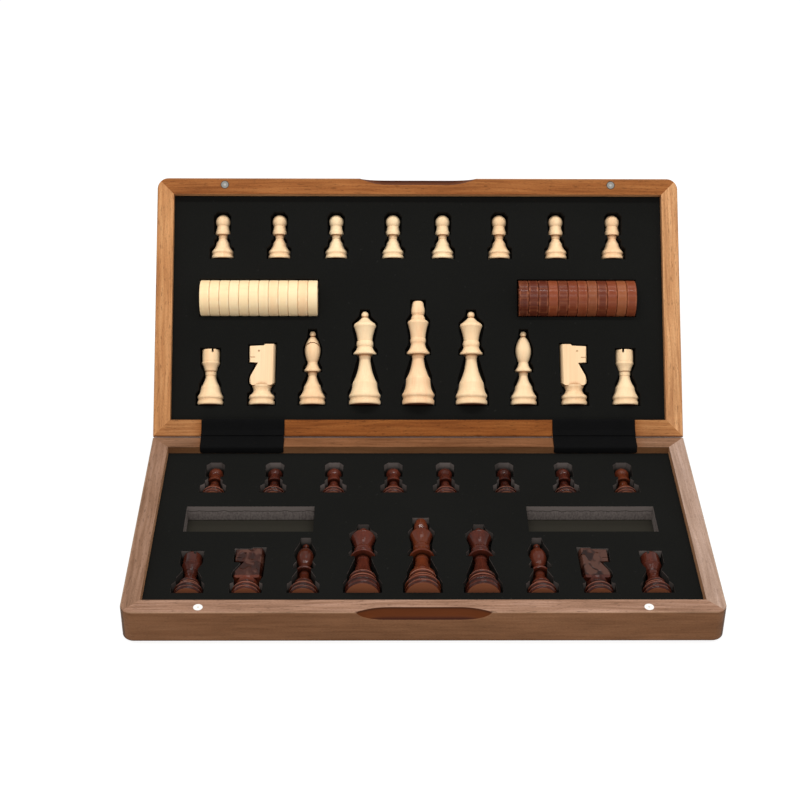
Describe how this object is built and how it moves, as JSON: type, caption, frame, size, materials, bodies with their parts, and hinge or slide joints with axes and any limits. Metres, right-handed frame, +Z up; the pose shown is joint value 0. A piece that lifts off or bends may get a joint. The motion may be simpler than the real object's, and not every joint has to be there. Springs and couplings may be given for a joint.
{
  "type": "games compendium box",
  "caption": "Folding wooden games box with a foam insert in each half for chessmen and draughts, finger notches, magnets and a chessboard on its outside.",
  "frame": {"origin": "centre of the base's underside, on the table", "axes": "+X along the fold to the right, +Y from the base's free edge to the fold, +Z up"},
  "size_m": [0.38, 0.3336, 0.1662],
  "materials": {
    "walnut": "satin lacquered walnut",
    "maple": "satin lacquered maple veneer",
    "boxwood": "satin pale wood",
    "rosewood": "gloss lacquered red-brown wood",
    "foam": "black closed-cell foam with a flocked surface",
    "felt": "black felt",
    "brass": "brushed",
    "steel": "nickel plated"
  },
  "bodies": {
    "base": {"base_front_rail": "walnut", "base_back_rail": "walnut", "base_left_rail": "walnut", "base_right_rail": "walnut", "base_panel": "walnut", "base_pale_squares": "maple", "base_foam": "foam", "base_magnets": "steel", "base_hinge_leaves": "brass", "base_hinge_screws": "brass", "hinge_pins": "steel", "base_hinge_felt": "felt"},
    "lid": {"lid_front_rail": "walnut", "lid_back_rail": "walnut", "lid_left_rail": "walnut", "lid_right_rail": "walnut", "lid_panel": "walnut", "lid_pale_squares": "maple", "lid_foam": "foam", "lid_magnets": "steel", "lid_hinge_leaves": "brass", "lid_hinge_screws": "brass", "lid_hinge_felt": "felt"},
    "light_king": {"light_king": "boxwood"},
    "light_queen_left": {"light_queen_left": "boxwood"},
    "light_queen_right": {"light_queen_right": "boxwood"},
    "light_bishop_left": {"light_bishop_left": "boxwood"},
    "light_bishop_right": {"light_bishop_right": "boxwood"},
    "light_knight_left": {"light_knight_left": "boxwood"},
    "light_knight_right": {"light_knight_right": "boxwood"},
    "light_rook_left": {"light_rook_left": "boxwood"},
    "light_rook_right": {"light_rook_right": "boxwood"},
    "light_pawn_1": {"light_pawn_1": "boxwood"},
    "light_pawn_2": {"light_pawn_2": "boxwood"},
    "light_pawn_3": {"light_pawn_3": "boxwood"},
    "light_pawn_4": {"light_pawn_4": "boxwood"},
    "light_pawn_5": {"light_pawn_5": "boxwood"},
    "light_pawn_6": {"light_pawn_6": "boxwood"},
    "light_pawn_7": {"light_pawn_7": "boxwood"},
    "light_pawn_8": {"light_pawn_8": "boxwood"},
    "dark_king": {"dark_king": "rosewood"},
    "dark_queen_left": {"dark_queen_left": "rosewood"},
    "dark_queen_right": {"dark_queen_right": "rosewood"},
    "dark_bishop_left": {"dark_bishop_left": "rosewood"},
    "dark_bishop_right": {"dark_bishop_right": "rosewood"},
    "dark_knight_left": {"dark_knight_left": "rosewood"},
    "dark_knight_right": {"dark_knight_right": "rosewood"},
    "dark_rook_left": {"dark_rook_left": "rosewood"},
    "dark_rook_right": {"dark_rook_right": "rosewood"},
    "dark_pawn_1": {"dark_pawn_1": "rosewood"},
    "dark_pawn_2": {"dark_pawn_2": "rosewood"},
    "dark_pawn_3": {"dark_pawn_3": "rosewood"},
    "dark_pawn_4": {"dark_pawn_4": "rosewood"},
    "dark_pawn_5": {"dark_pawn_5": "rosewood"},
    "dark_pawn_6": {"dark_pawn_6": "rosewood"},
    "dark_pawn_7": {"dark_pawn_7": "rosewood"},
    "dark_pawn_8": {"dark_pawn_8": "rosewood"},
    "light_draughts": {"light_draughts": "boxwood"},
    "dark_draughts": {"dark_draughts": "rosewood"}
  },
  "joints": [
    {"name": "box_hinge", "type": "hinge", "parent": "base", "child": "lid", "pos_m": [0, 0.0952, 0.0242], "axis": [-1, 0, 0], "range_deg": [-131.4, 48.6]},
    {"name": "light_king_lift", "type": "slide", "parent": "lid", "child": "light_king", "axis": [0, -0.7501, 0.6613], "range_m": [0, 0.04]},
    {"name": "light_queen_left_lift", "type": "slide", "parent": "lid", "child": "light_queen_left", "axis": [0, -0.7501, 0.6613], "range_m": [0, 0.04]},
    {"name": "light_queen_right_lift", "type": "slide", "parent": "lid", "child": "light_queen_right", "axis": [0, -0.7501, 0.6613], "range_m": [0, 0.04]},
    {"name": "light_bishop_left_lift", "type": "slide", "parent": "lid", "child": "light_bishop_left", "axis": [0, -0.7501, 0.6613], "range_m": [0, 0.04]},
    {"name": "light_bishop_right_lift", "type": "slide", "parent": "lid", "child": "light_bishop_right", "axis": [0, -0.7501, 0.6613], "range_m": [0, 0.04]},
    {"name": "light_knight_left_lift", "type": "slide", "parent": "lid", "child": "light_knight_left", "axis": [0, -0.7501, 0.6613], "range_m": [0, 0.04]},
    {"name": "light_knight_right_lift", "type": "slide", "parent": "lid", "child": "light_knight_right", "axis": [0, -0.7501, 0.6613], "range_m": [0, 0.04]},
    {"name": "light_rook_left_lift", "type": "slide", "parent": "lid", "child": "light_rook_left", "axis": [0, -0.7501, 0.6613], "range_m": [0, 0.04]},
    {"name": "light_rook_right_lift", "type": "slide", "parent": "lid", "child": "light_rook_right", "axis": [0, -0.7501, 0.6613], "range_m": [0, 0.04]},
    {"name": "light_pawn_1_lift", "type": "slide", "parent": "lid", "child": "light_pawn_1", "axis": [0, -0.7501, 0.6613], "range_m": [0, 0.04]},
    {"name": "light_pawn_2_lift", "type": "slide", "parent": "lid", "child": "light_pawn_2", "axis": [0, -0.7501, 0.6613], "range_m": [0, 0.04]},
    {"name": "light_pawn_3_lift", "type": "slide", "parent": "lid", "child": "light_pawn_3", "axis": [0, -0.7501, 0.6613], "range_m": [0, 0.04]},
    {"name": "light_pawn_4_lift", "type": "slide", "parent": "lid", "child": "light_pawn_4", "axis": [0, -0.7501, 0.6613], "range_m": [0, 0.04]},
    {"name": "light_pawn_5_lift", "type": "slide", "parent": "lid", "child": "light_pawn_5", "axis": [0, -0.7501, 0.6613], "range_m": [0, 0.04]},
    {"name": "light_pawn_6_lift", "type": "slide", "parent": "lid", "child": "light_pawn_6", "axis": [0, -0.7501, 0.6613], "range_m": [0, 0.04]},
    {"name": "light_pawn_7_lift", "type": "slide", "parent": "lid", "child": "light_pawn_7", "axis": [0, -0.7501, 0.6613], "range_m": [0, 0.04]},
    {"name": "light_pawn_8_lift", "type": "slide", "parent": "lid", "child": "light_pawn_8", "axis": [0, -0.7501, 0.6613], "range_m": [0, 0.04]},
    {"name": "dark_king_lift", "type": "slide", "parent": "base", "child": "dark_king", "axis": [0, 0, 1], "range_m": [0, 0.04]},
    {"name": "dark_queen_left_lift", "type": "slide", "parent": "base", "child": "dark_queen_left", "axis": [0, 0, 1], "range_m": [0, 0.04]},
    {"name": "dark_queen_right_lift", "type": "slide", "parent": "base", "child": "dark_queen_right", "axis": [0, 0, 1], "range_m": [0, 0.04]},
    {"name": "dark_bishop_left_lift", "type": "slide", "parent": "base", "child": "dark_bishop_left", "axis": [0, 0, 1], "range_m": [0, 0.04]},
    {"name": "dark_bishop_right_lift", "type": "slide", "parent": "base", "child": "dark_bishop_right", "axis": [0, 0, 1], "range_m": [0, 0.04]},
    {"name": "dark_knight_left_lift", "type": "slide", "parent": "base", "child": "dark_knight_left", "axis": [0, 0, 1], "range_m": [0, 0.04]},
    {"name": "dark_knight_right_lift", "type": "slide", "parent": "base", "child": "dark_knight_right", "axis": [0, 0, 1], "range_m": [0, 0.04]},
    {"name": "dark_rook_left_lift", "type": "slide", "parent": "base", "child": "dark_rook_left", "axis": [0, 0, 1], "range_m": [0, 0.04]},
    {"name": "dark_rook_right_lift", "type": "slide", "parent": "base", "child": "dark_rook_right", "axis": [0, 0, 1], "range_m": [0, 0.04]},
    {"name": "dark_pawn_1_lift", "type": "slide", "parent": "base", "child": "dark_pawn_1", "axis": [0, 0, 1], "range_m": [0, 0.04]},
    {"name": "dark_pawn_2_lift", "type": "slide", "parent": "base", "child": "dark_pawn_2", "axis": [0, 0, 1], "range_m": [0, 0.04]},
    {"name": "dark_pawn_3_lift", "type": "slide", "parent": "base", "child": "dark_pawn_3", "axis": [0, 0, 1], "range_m": [0, 0.04]},
    {"name": "dark_pawn_4_lift", "type": "slide", "parent": "base", "child": "dark_pawn_4", "axis": [0, 0, 1], "range_m": [0, 0.04]},
    {"name": "dark_pawn_5_lift", "type": "slide", "parent": "base", "child": "dark_pawn_5", "axis": [0, 0, 1], "range_m": [0, 0.04]},
    {"name": "dark_pawn_6_lift", "type": "slide", "parent": "base", "child": "dark_pawn_6", "axis": [0, 0, 1], "range_m": [0, 0.04]},
    {"name": "dark_pawn_7_lift", "type": "slide", "parent": "base", "child": "dark_pawn_7", "axis": [0, 0, 1], "range_m": [0, 0.04]},
    {"name": "dark_pawn_8_lift", "type": "slide", "parent": "base", "child": "dark_pawn_8", "axis": [0, 0, 1], "range_m": [0, 0.04]},
    {"name": "light_draughts_lift", "type": "slide", "parent": "lid", "child": "light_draughts", "axis": [0, -0.7501, 0.6613], "range_m": [0, 0.04]},
    {"name": "dark_draughts_lift", "type": "slide", "parent": "lid", "child": "dark_draughts", "axis": [0, -0.7501, 0.6613], "range_m": [0, 0.04]}
  ]
}
